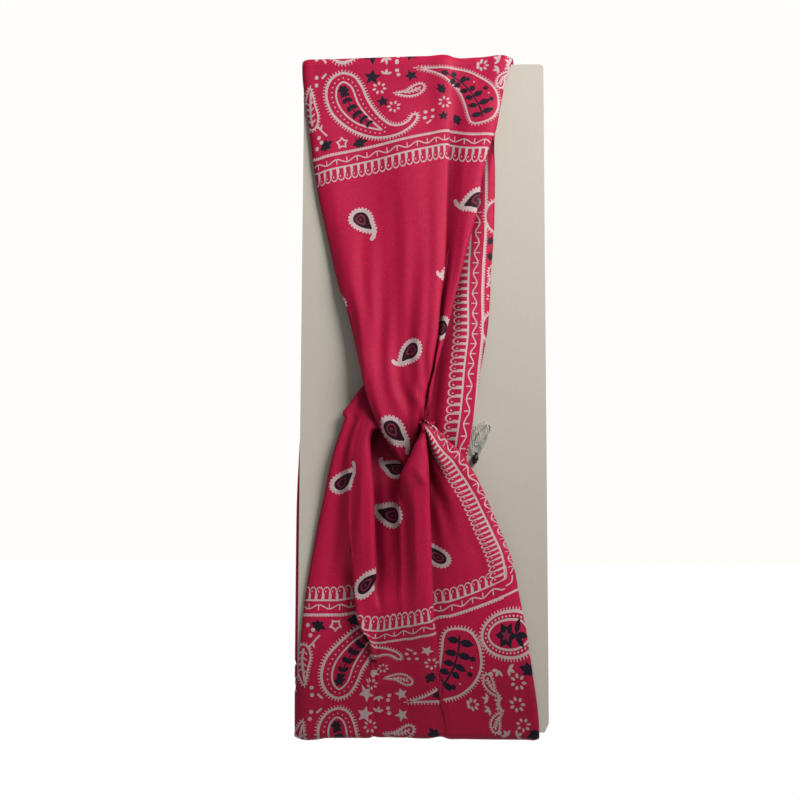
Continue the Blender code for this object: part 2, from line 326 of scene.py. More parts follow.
def upper_ribs(level):
    """The strap that comes down from the card's top edge and dives into the knot."""
    ribs = Ribs(level)
    flat_level = np.maximum(level, DIVE_LEVEL)
    left, fold_b, fold_a, right = upper_plan(level)
    flat_left, flat_b, hidden_b, flat_a, strip, flat_right = upper_flat(level)
    edge_high, edge_lift, top_b, under_b, top_a, under_a = upper_heights(level)
    into = np.clip((DIVE_LEVEL - level) / 29.0, 0, 1.2)
    dive = ramp(level, -9.0, -22.0)
    shift = settle(level, [(20, 0.0), (55, 0.45), (86, 1.0), (104, 0.55), (118, 0.1), (122, 0.0)])

    def place(fraction, across, lift):
        """Across and path of a rib that ends on the tuck line, a fraction of the way along it."""
        end_x = mix(TUCK_LOW[0], TUCK_HIGH[0], fraction)
        end_z = mix(TUCK_LOW[1], TUCK_HIGH[1], fraction)
        sweep = 12.0 * np.clip(into, 0, 1) * (1 - np.clip(into, 0, 1)) * (1 - fraction)
        return mix(across, end_x, into) - sweep, mix(flat_level + lift * shift, end_z, into)

    def sunk(height):
        return height - 5.5 * dive

    # the left side and the broad panel up to pleat B
    x, path = place(0.0, left, -4.6)
    ribs.edge(flat_left, x, sunk(edge_high), -1, path, np.maximum(edge_lift - 4.5 * dive, 0))
    span = flat_b - flat_left
    ridge = settle(level, [(10, 0.0), (30, 0.55), (70, 0.8), (100, 0.4), (122, 0.0)])
    crease = settle(level, [(-20, 0.3), (-8, 0.8), (10, 0.8), (30, 0.25), (60, 0.0)])
    for fraction, lag, along, wave, dip in (
            (0.10, 0.5, 0.12, 0.35, -1.0), (0.26, 0.35, 0.30, -0.15, -1.0), (0.46, 0.2, 0.50, -0.5, -1.0),
            (0.66, 0.10, 0.72, 0.45, -1.0), (0.84, 0.02, 0.90, 0.2, 0.6)):
        x, path = place(fraction * 0.62, mix(left, fold_b, fraction), mix(-4.6, 5.6, along))
        high = mix(edge_high, top_b, ramp(fraction, -0.15, 0.95)) + lag * (top_b - 1.4) * 0.35
        high = high + wave * ridge + crease * dip
        ribs.add(flat_left + 1.0 + (span - 2.4) * fraction, x, sunk(high), path)
    # pleat B and the narrow panel beside it
    x, path = place(0.72, fold_b, 5.7)
    shortest = settle(level, [(-28, 1.6), (0, 2.2), (20, 4.5), (40, 7.5)])
    ribs.pleat((flat_b, x), hidden_b, sunk(top_b), sunk(under_b), path, longest=shortest)
    x, path = place(0.86, mix(fold_b, fold_a, 0.45), 4.2)
    rise = settle(level, [(-20, 0.2), (10, 0.9), (40, 0.8), (80, 0.7), (104, 0.2), (122, 0.0)])
    small = flat_a - flat_b - hidden_b
    ribs.add(flat_b + hidden_b + small * 0.45, x, sunk(mix(under_b, top_a, 0.6) + rise), path)
    # pleat A, whose hidden cloth leads under it to the strip at the right that runs straight on
    x, path = place(1.0, fold_a, 4.1)
    hidden_a = np.maximum(flat_right - strip - flat_a, 0.8)
    strip_path = np.maximum(level, -20) - 0.25 * np.maximum(DIVE_LEVEL - level, 0) + 3.5 * shift
    leg = hidden_a / 2
    curl = np.minimum(0.9, leg * 0.45)
    tuck = np.minimum(leg * 0.9, 7.0)
    for out, back, drop in ((-1, 0.9, 0.0), (0, 0.0, 0.5), (1, 0.7, 1.1)):
        ribs.add(flat_a + curl * out, x - curl * back, sunk(top_a - drop), path)
    start = right - strip
    ribs.add(flat_a + leg, np.minimum(x, start) - tuck, mix(under_a, sunk(top_a), 0.3),
             mix(path, strip_path, 0.7))
    ribs.add(flat_right - strip - np.minimum(1.2, leg * 0.4), start - np.minimum(1.4, leg * 0.4),
             under_a + 0.1, strip_path)
    bulge = profile(level, [(-20, 0.2), (0, 0.8), (20, 0.9), (60, 0.4), (100, 0.1), (245, 0.0)])
    for part, swell in ((0.66, 1.0), (0.33, 0.8)):
        ribs.add(flat_right - strip * part, right - strip * part, under_a + bulge * swell, strip_path)
    right_high = profile(level, [(-20, 2.4), (5, 2.4), (30, 1.8), (60, 1.5), (245, 1.4)])
    ribs.edge(flat_right, right, right_high, 1, strip_path)
    return ribs.table()


def lower_plan(level):
    """Places across the card of the left side, folds 2, 1 and 3, and the right side."""
    left = profile(level, [
        (-6, -19.5), (-2, -20.7), (1, -22.9), (4.7, -25.6), (7.6, -27.6), (9.0, -28.7), (10.2, -27.7),
        (12.4, -28.2), (16.4, -29.6), (24, -32.0), (36, -34.5), (51.3, -37.5), (68, -40.2), (79, -41.7),
        (97.5, -43.5), (119.5, -44.6), (128, -45.2), (200, -45.4), (245, -43.6)])
    fold_2 = settle(level, [
        (-6, -13), (0, -16.5), (8, -20.5), (14, -22.8), (24, -25.0), (45, -25.5), (60, -24.4), (70, -23.8),
        (78, -21.6), (84, -18.4), (92, -18.0), (120, -20.5)])
    fold_1 = settle(level, [
        (-6, -7.5), (-2, -9.5), (4, -14.0), (10, -17.4), (16, -18.3), (24, -18.0), (33.8, -17.1),
        (47.4, -16.5), (60.5, -16.1), (66, -16.6), (74, -15.0), (95, -16), (120, -16.5)])
    fold_3 = settle(level, [
        (-6, 0.4), (10, 1.6), (23.3, 2.3), (40, 2.7), (52.7, 3.2), (75, 4.0), (81.3, 4.8), (95, 6.0),
        (120, 8.0)])
    right = profile(level, [
        (-6, 0.6), (-2, 1.0), (5, 4.0), (15, 9.8), (21, 14.0), (28.1, 17.2), (31.2, 19.0), (46, 24.2),
        (70.4, 31.3), (82.8, 33.9), (95, 37.2), (119.5, 40.6), (170, 41.0), (245, 41.2)])
    return left, fold_2, fold_1, fold_3, right


def lower_paths(level):
    """Paths of folds 2, 1 and 3 and of the right side, which fan out of the knot."""
    path_2 = reach(level, [(-6, 0), (0, 4), (8, 9.4), (14, 14.4), (26, 26)])
    path_1 = reach(level, [(-6, 15.5), (-2, 15.0), (4, 14.2), (10, 15.5), (16, 18.8), (26, 26)])
    path_3 = reach(level, [(-6, 13.2), (2, 16.2), (14, 22.4), (27, 30.2), (38, 38)])
    right_path = reach(level, [
        (-6, 10.6), (-2, 11.6), (5, 13.6), (15, 19.6), (21, 23.4), (28.1, 28.6), (34, 34)])
    return path_2, path_1, path_3, right_path


def lower_flat(level):
    """Places on the flat cloth of the same lines, with the cloth hidden in each pleat.

    start_3 is where the cloth comes out from under pleat 3.
    """
    flat_left = settle(level, [(-6, -35), (24, -40), (50, -42), (75, -42.8), (97, -43.3), (120, -43.5)])
    flat_2 = settle(level, [
        (-6, -31), (10, -33), (24, -33), (52, -29.5), (60, -28), (70, -25), (78, -22.5), (84, -19.5),
        (92, -19), (120, -19.5)])
    hidden_2 = settle(level, [
        (-6, 0.5), (58, 0.5), (64, 1.2), (70, 3.2), (80, 5.0), (88, 4.2), (97, 2.6), (104, 1.0),
        (112, 0.5)])
    flat_1 = settle(level, [
        (-6, -22), (24, -21.5), (40, -19.5), (52, -18.5), (60, -17.5), (67, -14.8), (74, -11.8),
        (80, -11.3), (88, -13.3), (95, -15), (120, -15)])
    hidden_1 = profile(level, [
        (-6, 2), (12, 6), (24, 10), (40, 9), (52, 8), (60, 5), (67, 2.0), (74, 0.6), (245, 0.5)])
    flat_3 = profile(level, [
        (-6, 6), (5, 10.5), (12, 12.8), (20, 15.0), (25, 15.2), (30, 13.0), (35, 10.4), (40, 9.8),
        (52, 10.5), (66, 8.8), (75, 9.4), (84, 9.3), (95, 9.0), (245, 8.6)])
    start_3 = profile(level, [
        (-6, 34), (5, 32.9), (15, 30.2), (24, 27), (40, 21.2), (52, 18.1), (66, 14.4), (75, 13.8),
        (84, 13.9), (95, 13.6), (105, 12.4), (115, 10.8), (125, 9.5), (245, 9.1)])
    flat_right = settle(level, [
        (-6, 40.0), (5, 41.2), (15, 42.0), (24, 42.2), (40, 41.4), (67, 40.8), (84, 42.4), (120, 43.5)])
    return flat_left, flat_2, hidden_2, flat_1, hidden_1, flat_3, start_3, flat_right


def lower_heights(level):
    """Heights above the card, from left to right."""
    edge_high = profile(level, [
        (-6, 3.6), (0, 4.2), (12, 4.6), (24, 3.8), (36, 3.0), (52, 2.2), (75, 1.7), (95, 1.5), (245, 1.4)])
    left_mid = profile(level, [
        (-6, 3.8), (6, 4.6), (20, 4.2), (40, 2.8), (60, 2.0), (80, 1.8), (100, 1.6), (245, 1.4)])
    top_2 = profile(level, [
        (-6, 4.0), (10, 6.0), (24, 6.0), (45, 5.2), (60, 5.6), (70, 5.8), (80, 5.4), (88, 3.8), (98, 2.0),
        (112, 1.5), (245, 1.4)])
    roll = settle(level, [
        (-6, 4.0), (2, 6.4), (10, 7.6), (24, 8.0), (40, 7.6), (52, 7.2), (60, 6.6), (70, 5.4), (84, 3.4),
        (100, 1.9), (120, 1.4)])
    valley = settle(level, [
        (-6, 1.4), (10, 0.9), (24, 0.8), (40, 0.7), (55, 0.9), (66, 2.6), (76, 5.0), (86, 3.4), (100, 1.9),
        (120, 1.4)])
    ridge = settle(level, [
        (-6, 9.4), (4, 10.4), (14, 11.2), (24, 11.2), (40, 10.4), (52, 9.6), (66, 8.4), (76, 7.0),
        (86, 4.2), (96, 2.6), (112, 1.7), (120, 1.4)])
    under_3 = settle(level, [
        (-6, 7.0), (8, 6.6), (24, 4.6), (40, 3.4), (52, 2.9), (66, 2.8), (80, 2.4), (95, 1.8), (120, 1.4)])
    right_mid = profile(level, [
        (-6, 8.6), (8, 10.0), (18, 9.6), (30, 7.6), (45, 5.6), (60, 4.8), (76, 4.2), (90, 2.8), (110, 1.6),
        (245, 1.4)])
    right_high = profile(level, [
        (-6, 8.4), (5, 9.4), (18, 8.4), (24, 7.0), (34, 5.0), (46, 3.2), (60, 2.4), (80, 1.8), (100, 1.5),
        (245, 1.4)])
    right_lift = settle(level, [(-6, 5.8), (16, 5.2), (23, 3.4), (30, 0.6), (40, 0.0)])
    return edge_high, left_mid, top_2, roll, valley, ridge, under_3, right_mid, right_high, right_lift


def lower_ribs(level):
    """The strap that comes up from the bottom edge; level runs downwards from the knot."""
    ribs = Ribs(level)
    left, fold_2, fold_1, fold_3, right = lower_plan(level)
    path_2, path_1, path_3, right_path = lower_paths(level)
    flat_left, flat_2, hidden_2, flat_1, hidden_1, flat_3, start_3, flat_right = lower_flat(level)
    (edge_high, left_mid, top_2, roll, valley, ridge,
     under_3, right_mid, right_high, right_lift) = lower_heights(level)
    end = ramp(level, -1.0, LOWER_END)
    down = settle(level, [(34, 0.0), (55, 0.5), (77, 1.0), (86, 0.8), (96, 0.35), (106, 0.06), (114, 0.0)])

    def drop(height):
        return height - 3.0 * end

    # the left side, pleat 2 and the roll up to pleat 1
    ribs.edge(flat_left, left, edge_high, -1, level - down * 2.3)
    ribs.add(mix(flat_left, flat_2, 0.55), mix(left, fold_2, 0.55), drop(left_mid),
             mix(level, path_2, 0.6) - down * 2.3)
    low_2 = mix(top_2, np.minimum(left_mid + 0.4, top_2), ramp(level, 56, 68) * (1 - ramp(level, 92, 104)))
    ribs.pleat((flat_2, fold_2), hidden_2, drop(top_2), drop(low_2), path_2 + down * 7.0,
               path_2 - down * 2.3, -1)
    roll_flat = mix(flat_2 + hidden_2, flat_1, 0.55)
    ribs.add(roll_flat, mix(fold_2, fold_1, 0.52), drop(roll), mix(path_2, path_1, 0.5) + down * 7.8)
    low_1 = mix(valley, roll - 0.3, ramp(level, 62, 74))
    ribs.pleat((flat_1, fold_1), hidden_1, drop(roll - 0.5), drop(low_1), path_1 + down * 8.0)
    start_1 = flat_1 + hidden_1

    # the pocket's floor and the lip that stands over it, merging into pleat 1 further down
    lip_near = profile(level, [
        (-6, 0.4), (0, -0.1), (6, -1.0), (13, -3.0), (18, -4.2), (24, -6.0), (30, -8.0)])
    lip_x = mix(lip_near, mix(fold_1, fold_3, 0.5), ramp(level, 31, 46))
    lip_path = reach(level, [
        (-6, 11.2), (0, 13.4), (6, 17.3), (13, 21.6), (18, 24.3), (24, 27.6), (30, 31.2), (36, 36)])
    hidden_lip = settle(level, [(-6, 9), (12, 9), (20, 8), (28, 5), (35, 1.4), (42, 0.5)])
    lip_flat = profile(level, [(-6, -5), (12, -2.2), (24, -1.1), (35, -0.8)])
    lip_flat = mix(lip_flat, mix(start_1, flat_3, 0.5) - hidden_lip / 2, ramp(level, 32, 46))
    pocket_path = reach(level, [(-6, 12.0), (6, 13.8), (14, 17.2), (24, 24.6), (30, 30)])
    wall = mix(low_1, ridge, 0.62)
    top_lip = mix(ridge - 0.4, wall, ramp(level, 24, 40))
    under_lip = mix(low_1 + 1.2, wall - 0.06, ramp(level, 28, 42))
    for fraction, near, far in ((0.34, 0.03, 0.18), (0.72, 0.10, 0.38)):
        high = mix(low_1, ridge, mix(near, far, ramp(level, 26, 46)))
        ribs.add(mix(start_1, lip_flat, fraction), mix(fold_1, lip_x, fraction), drop(high),
                 mix(path_1, pocket_path, fraction) + down * mix(8.0, 6.3, fraction))
    ribs.pleat((lip_flat, lip_x), hidden_lip, drop(top_lip), drop(under_lip), lip_path + down * 6.3,
               pocket_path + down * 6.3, -1)
    ribs.add(mix(lip_flat + hidden_lip, flat_3, 0.5), mix(lip_x, fold_3, 0.5), drop(ridge),
             mix(lip_path, path_3, 0.5) + down * 5.2)

    # pleat 3 and the panel on its right
    hidden_3 = start_3 - flat_3
    shortest = settle(level, [(-6, 0.6), (6, 1.4), (14, 2.6), (24, 4.5), (34, 7.5)])
    ribs.pleat((flat_3, fold_3), hidden_3, drop(ridge - 0.4), drop(under_3), path_3 + down * 4.3,
               path_3 - down, longest=shortest)
    tilt = settle(level, [(-6, 0.8), (4, 2.0), (15, 3.4), (30, 4.0), (50, 3.0), (70, 1.0), (84, 0.0)])
    for fraction, blend_in, up, lean in ((0.18, 0.55, 2.4, 0.4), (0.42, 1.0, 4.9, 0.85),
                                         (0.68, 0.95, 7.9, 0.55), (0.86, 0.75, 10.2, 0.2)):
        x = mix(fold_3, right, fraction)
        path = mix(path_3, right_path, fraction) - down * up + tilt * lean
        high = mix(mix(under_3, right_mid, blend_in), right_high, max(0.0, fraction - 0.6))
        ribs.add(mix(start_3, flat_right, fraction), x, drop(high), path)
    ribs.edge(flat_right, right, drop(right_high), 1, right_path - down * 11.5, right_lift - 2.0 * end)
    return ribs.table()


def wrinkles(flat, level, side):
    """Small soft waves in the cloth, stronger towards the knot, in millimetres."""
    near = 1 - ramp(level, 4, 95)
    phase = 0.0 if side > 0 else 1.9
    lines = (np.sin(flat * 1.05 + level * 0.03 + phase) * 0.16
             + np.sin(flat * 0.62 - level * 0.075 + 2 * phase) * 0.22)
    broad = (np.sin(flat * 0.21 + level * 0.045 + phase) * 0.16
             + np.sin(flat * 0.11 - level * 0.08 + 1.3) * 0.14)
    over = ramp(level, 124, 150)
    back = (np.sin(level * 0.16 + flat * 0.05 + phase) * 0.10
            + np.sin(flat * 0.33 + level * 0.04) * 0.12)
    calm = 1 - ramp(level, 104, 116)
    return lines * near * calm + broad * calm * 0.9 + back * over * (1 - ramp(level, 236, 244))


def surface(flat, level, ribs_at, side):
    """Points in space, in millimetres, of places on the flat cloth; side is 1 above the knot, -1 below."""
    table = ribs_at(level)
    places = table[0]
    count = len(places)
    index = np.clip((places <= flat[None, :]).sum(0) - 1, 0, count - 2)
    column = np.arange(len(flat))

    def at(rows, i):
        return rows[np.clip(i, 0, count - 1), column]

    u = [at(places, index + k) for k in (0, 1)]
    t = np.clip((flat - u[0]) / (u[1] - u[0]), 0, 1)
    near = [[at(rows, index + k) for k in (-1, 0, 1, 2)] for rows in table[1:]]
    w0, w1, w2 = (np.sqrt(sum((p[k + 1] - p[k]) ** 2 for p in near)) + 1e-3 for k in range(3))
    out = []
    for p in near:
        slope = (p[2] - p[1]) / w1
        before = np.where(index > 0, (p[1] - p[0]) / w0, slope)
        after = np.where(index < count - 2, (p[3] - p[2]) / w2, slope)
        m1 = (before * w1 + slope * w0) / (w0 + w1)
        m2 = (slope * w2 + after * w1) / (w1 + w2)
        out.append(cubic(t, w1, p[1], p[2], m1, m2))
    x, path, height = out
    height = height + wrinkles(flat, level, side)
    height = mix(height, SEAM_HEIGHT + 0.35, ramp(level, SEAM - 9, SEAM - 4))
    height = mix(height, SEAM_HEIGHT, ramp(level, SEAM - 1.2, SEAM))
    height = np.maximum(height, 0.15)
    y, z = on_loop(path, height)
    return np.stack([x, y, z * side], axis=1)


# ---------------------------------------------------------------- cloth meshes

THICKNESS = 0.32        # of one layer of satin knit
UV_SPAN = 100.0         # flat millimetres in one unit of the UV map


def rows_of_levels(end):
    """Levels of the cloth's rows, closest where it bends most."""
    front = np.arange(end, 40, 1.1)
    middle = np.arange(40, EDGE - 3, 1.6)
    fold = np.arange(EDGE - 3, EDGE + FOLD + 4, 0.6)
    back = np.append(np.arange(EDGE + FOLD + 4, SEAM - 3, 4.0), [SEAM - 2, SEAM - 0.8, SEAM])
    return np.concatenate([front, middle, fold, back])


def divided(ring, longest=1.1):
    """A closed outline with its long edges split."""
    after = np.roll(ring, -1, axis=0)
    parts = np.maximum(1, np.ceil(np.linalg.norm(after - ring, axis=1) / longest).astype(int))
    return np.concatenate([mix(a, b, np.arange(n)[:, None] / n) for a, b, n in zip(ring, after, parts)])


def base_grid(ribs_at, levels):
    """Flat places of the cloth's own grid, which follows the ribs: columns by rows."""
    places = ribs_at(levels)[0]
    wide = (places[1:] - places[:-1]).max(axis=1)
    columns = []
    for i, width in enumerate(wide):
        parts = max(1, int(round(width / 1.5)))
        for k in range(parts):
            columns.append(mix(places[i], places[i + 1], k / parts))
    columns.append(places[-1])
    return np.stack([np.array(columns), np.broadcast_to(levels, (len(columns), len(levels)))], axis=2)


def rim_edges(columns, rows):
    """Point pairs along the four sides of a grid."""
    last = (columns - 1) * rows
    edges = []
    for r in range(rows - 1):
        edges += [(r, r + 1), (last + r, last + r + 1)]
    for c in range(columns - 1):
        near, far = c * rows, c * rows + rows - 1
        edges += [(near, near + rows), (far, far + rows)]
    return edges


def cut_prints(points, edges, shapes, grid):
    """Adds the outline of every printed shape that lies on the cloth."""
    low, high = grid[:, :, 0].min(), grid[:, :, 0].max()
    for outline, _ in shapes:
        ring = divided(outline)
        if ring[:, 0].max() < low or ring[:, 0].min() > high:
            continue
        if ring[:, 1].max() < grid[0, 0, 1] or ring[:, 1].min() > SEAM:
            continue
        first = len(points)
        points.extend(map(tuple, ring))
        edges.extend((first + k, first + (k + 1) % len(ring)) for k in range(len(ring)))


def build_cloth(name, ribs_at, side, end, shapes, art_scale):
    """A strap as a closed thin sheet with the print cut into its mesh.

    art_scale is the print's stretch along the strap and its offset there.
    """
    levels = rows_of_levels(end)
    grid = base_grid(ribs_at, levels)
    columns, rows = grid.shape[:2]
    points = [tuple(p) for p in grid.reshape(-1, 2)]
    edges = rim_edges(columns, rows)
    stretch, offset = art_scale
    laid = [((outline - (0, offset)) / (1, stretch), colour) for outline, colour in shapes]
    cut_prints(points, edges, laid, grid)
    made = geometry.delaunay_2d_cdt([Vector(p) for p in points], edges, [], 0, 1e-4, False)
    flat = np.array([tuple(v) for v in made[0]])
    faces = np.array(made[2])
    middle = flat[faces].mean(axis=1)
    first = np.interp(middle[:, 1], levels, grid[0, :, 0])
    last = np.interp(middle[:, 1], levels, grid[-1, :, 0])
    inside = (middle[:, 0] > first) & (middle[:, 0] < last)
    inside &= (middle[:, 1] > levels[0]) & (middle[:, 1] < levels[-1])
    corner = flat[faces]
    area = np.abs(np.cross(corner[:, 1] - corner[:, 0], corner[:, 2] - corner[:, 0]))
    inside &= area > 1e-7
    faces, middle = faces[inside], middle[inside]
    used = np.unique(faces)
    renumber = np.full(len(flat), -1)
    renumber[used] = np.arange(len(used))
    flat, faces = flat[used], renumber[faces]
    ink = paint(middle * (1, stretch) + (0, offset), shapes)
    return make_sheet(name, flat, faces, ink, ribs_at, side)


def make_sheet(name, flat, faces, ink, ribs_at, side):
    """Maps a flat triangulation into space and gives it thickness, normals, inks and a UV map."""
    u, level = flat[:, 0].copy(), flat[:, 1].copy()
    step = 0.05

    def point(u, level):
        return surface(u, level, ribs_at, side)

    here = point(u, level)
    along_u = point(u + step, level) - point(u - step, level)
    along_v = point(u, level + step) - point(u, level - step)
    normal = np.cross(along_u, along_v) * side
    length = np.linalg.norm(normal, axis=1, keepdims=True)
    normal = normal / np.maximum(length, 1e-9)
    below = here - normal * THICKNESS
    count = len(here)
    turn = faces if side > 0 else faces[:, ::-1]
    a, b, c = (flat[turn[:, k]] for k in range(3))
    signed = np.cross(b - a, c - a) * side
    turn = np.where((signed > 0)[:, None], turn, turn[:, ::-1])
    pairs = np.concatenate([turn[:, [0, 1]], turn[:, [1, 2]], turn[:, [2, 0]]])
    key = np.sort(pairs, axis=1)
    _, back, number = np.unique(key, axis=0, return_inverse=True, return_counts=True)
    rim = pairs[number[back.ravel()] == 1]
    quads = np.stack([rim[:, 1], rim[:, 0], rim[:, 0] + count, rim[:, 1] + count], axis=1)
    mesh = bpy.data.meshes.new(name)
    all_points = np.concatenate([here, below]) * MM
    all_faces = [*map(tuple, turn), *map(tuple, turn[:, ::-1] + count), *map(tuple, quads)]
    mesh.from_pydata(all_points.tolist(), [], all_faces)
    inks = np.concatenate([ink, np.zeros(len(turn), int), np.zeros(len(quads), int)])
    colours = PALETTE[inks]
    sizes = np.concatenate([np.full(2 * len(turn), 3), np.full(len(quads), 4)])
    layer = mesh.color_attributes.new("print", "FLOAT_COLOR", "CORNER")
    layer.data.foreach_set("color", np.repeat(colours, sizes, axis=0).ravel())
    uv = mesh.uv_layers.new(name="cloth")
    corner_verts = np.zeros(len(mesh.loops), int)
    mesh.loops.foreach_get("vertex_index", corner_verts)
    uv.data.foreach_set("uv", (flat[corner_verts % count] / UV_SPAN).ravel())
    mesh.shade_smooth()
    normals = np.concatenate([normal, -normal])
    mesh.normals_split_custom_set_from_vertices(normals.tolist())
    return add_object(name, mesh)


# ---------------------------------------------------------------- tag fastener and seam


def ring_round(centre, along, radius, sides):
    """A circle of points square to a direction."""
    along = along / np.linalg.norm(along)
    side = np.cross(along, (0.31, 0.92, 0.24))
    side /= np.linalg.norm(side)
    up = np.cross(along, side)
    c, s = circle(sides).T[:, :, None]
    return centre + radius * (c * side + s * up)


class Solid:
    """Collects closed shapes, in millimetres, into one mesh."""

    def __init__(self):
        self.points = []
        self.faces = []

    def tube(self, line, radii, sides, closed=False):
        """A round tube along a line; radii is one number or one for each point."""
        line = np.asarray(line, float)
        radii = np.broadcast_to(radii, len(line))
        first, count = len(self.points), len(line)
        for centre, along, radius in zip(line, heading(line, closed), radii):
            self.points.extend(ring_round(centre, along, radius, sides))
        for i in range(count if closed else count - 1):
            low, high = first + i * sides, first + (i + 1) % count * sides
            for k in range(sides):
                after = (k + 1) % sides
                self.faces.append((low + k, low + after, high + after, high + k))
        if not closed:
            self.faces.append([first + k for k in range(sides)][::-1])
            self.faces.append([first + (count - 1) * sides + k for k in range(sides)])

    def slab(self, top, bottom):
        """A thin closed shape between two equal grids of points, rows by columns."""
        rows, columns = top.shape[:2]
        first, count = len(self.points), rows * columns
        self.points.extend(np.concatenate([top.reshape(-1, 3), bottom.reshape(-1, 3)]))

        def wall(a, b):
            """The side face below the edge from grid point a to grid point b."""
            self.faces.append((first + b, first + a, first + a + count, first + b + count))

        for r in range(rows - 1):
            for c in range(columns - 1):
                near, far = r * columns + c, (r + 1) * columns + c
                quad = [first + k for k in (near, near + 1, far + 1, far)]
                self.faces += [quad, [i + count for i in quad[::-1]]]
        for r in range(rows - 1):
            wall((r + 1) * columns, r * columns)
            wall(r * columns + columns - 1, (r + 2) * columns - 1)
        for c in range(columns - 1):
            wall(c, c + 1)
            wall((rows - 1) * columns + c + 1, (rows - 1) * columns + c)

    def build(self, name):
        mesh = bpy.data.meshes.new(name)
        points = (np.array(self.points) * MM).tolist()
        mesh.from_pydata(points, [], [tuple(int(i) for i in face) for face in self.faces])
        shape = bmesh.new()
        shape.from_mesh(mesh)
        bmesh.ops.recalc_face_normals(shape, faces=shape.faces)
        shape.to_mesh(mesh)
        shape.free()
        mesh.shade_smooth()
        return add_object(name, mesh)


def make_tag_loop():
    """A clear nylon thread wound in three loose loops that hang out from behind the strap."""
    solid = Solid()
    turn = np.arange(40) / 40 * 2 * math.pi
    for x, z, wide, high, lean, near in ((20.4, -17.4, 2.3, 5.7, -16, 1.5), (19.0, -18.4, 1.5, 5.0, 8, 0.9),
                                         (21.3, -16.4, 1.5, 4.4, -34, 0.6)):
        lean = math.radians(lean)
        across = np.cos(turn) * wide * (1 + 0.10 * np.sin(3 * turn))
        up = np.sin(turn) * high
        xs = x + across * math.cos(lean) - up * math.sin(lean)
        zs = z + across * math.sin(lean) + up * math.cos(lean)
        ys = FACE_Y - near - 0.35 * np.sin(2 * turn + x)
        solid.tube(np.stack([xs, ys, zs], axis=1), 0.26, 8, closed=True)
    return solid.build("tag_thread")


def make_tag_lock():
    """The small bud-shaped lock that closes the thread."""
    solid = Solid()
    top, bottom = np.array((19.1, FACE_Y - 1.2, -22.6)), np.array((18.2, FACE_Y - 1.3, -26.9))
    outline = [(0.0, 0.25), (0.04, 0.55), (0.12, 0.62), (0.16, 0.45), (0.22, 0.50), (0.32, 1.0), (0.48, 1.25),
               (0.64, 1.15), (0.74, 0.85), (0.78, 0.95), (0.84, 0.90), (0.92, 0.55), (1.0, 0.2)]
    along = np.array([part for part, _ in outline])[:, None]
    solid.tube(top + (bottom - top) * along, [radius for _, radius in outline], 18)
    return solid.build("tag_bud")


def make_seam():
    """The overlocked seam allowance, pressed flat between the card and the back of the cloth."""
    solid = Solid()
    low, high = (np.array(corner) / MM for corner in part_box("overlock_seam"))
    middle = (low[1] + high[1]) / 2
    half, pitch = 0.30, 1.6     # half the allowance's thickness, and the stitches' spacing
    x, z = np.meshgrid(np.linspace(low[0], high[0], 90), np.linspace(low[2] + 0.5, high[2] - 0.3, 9))
    z = z + 0.16 * np.sin(x * 0.9) * (z < 0)
    swell = 0.10 * np.sin(x * 0.55) + 0.14 * np.cos(z * 1.1)
    top, bottom = (np.stack([x, middle + face * (half + swell * 0.5), z], axis=2) for face in (-1, 1))
    solid.slab(top, bottom)
    for edge, bite in ((low[2] + 0.55, 1.9), (high[2] - 0.5, -1.0)):
        zigzag = []
        for i in range(int((high[0] - low[0] - 1.0) / pitch)):
            start = low[0] + 0.5 + i * pitch
            zigzag += [(start, middle - half - 0.08, edge + bite),
                       (start + 0.35, middle - half - 0.12, edge + bite * 0.4),
                       (start + 0.75, middle, edge - math.copysign(0.2, bite)),
                       (start + 1.15, middle + half + 0.12, edge + bite * 0.4)]
        solid.tube(zigzag, 0.11, 5)
    return solid.build("seam_allowance")


# ---------------------------------------------------------------- the print, drawn flat in millimetres
# u runs across the cloth (left is negative), d along it, away from the knot.

PINK, WHITE, NAVY, ROSE, PLUM = range(5)
PALETTE = np.array([(0.74, 0.012, 0.088, 1), (0.88, 0.66, 0.69, 1), (0.020, 0.014, 0.034, 1),
                    (0.36, 0.03, 0.09, 1), (0.034, 0.006, 0.018, 1)])
LINE = 83.3             # the frame line of the border, from the knot
FRAME = 38.0            # the same line down the right side
MIRROR = 118.6          # the print repeats in mirror image beyond this


def curve(points, closed=False, steps=5):
    """A smooth line through given points."""
    p = np.array(points, float)
    count = len(p)
    out = []
    for i in range(count if closed else count - 1):
        if closed:
            a, b, c, e = (p[(i + k) % count] for k in (-1, 0, 1, 2))
        else:
            b, c = p[i], p[i + 1]
            a = p[i - 1] if i else 2 * b - c
            e = p[i + 2] if i + 2 < count else 2 * c - b
        for t in np.arange(steps) / steps:
            out.append(0.5 * (2 * b + (c - a) * t + (2 * a - 5 * b + 4 * c - e) * t ** 2
                              + (3 * b - a - 3 * c + e) * t ** 3))
    if not closed:
        out.append(p[-1])
    return np.array(out)


def normals_of(line, closed):
    """Unit vectors square to a line, to its left."""
    along = heading(line, closed)
    along /= np.maximum(np.linalg.norm(along, axis=1, keepdims=True), 1e-9)
    return np.stack([-along[:, 1], along[:, 0]], axis=1)


def winding(ring):
    """1 for an outline that runs from the u direction towards d, -1 for one that runs back."""
    x, y = ring.T
    return np.sign(np.sum(x * np.roll(y, -1) - np.roll(x, -1) * y))


def grow(ring, by):
    """A closed outline pushed outwards by a distance."""
    return ring - normals_of(ring, True) * by * winding(ring)


def place(shape, at, angle=0.0, size=1.0):
    """A small shape moved to its place on the cloth."""
    c, s = math.cos(math.radians(angle)), math.sin(math.radians(angle))
    return np.asarray(shape, float) @ np.array([(c, s), (-s, c)]) * size + at


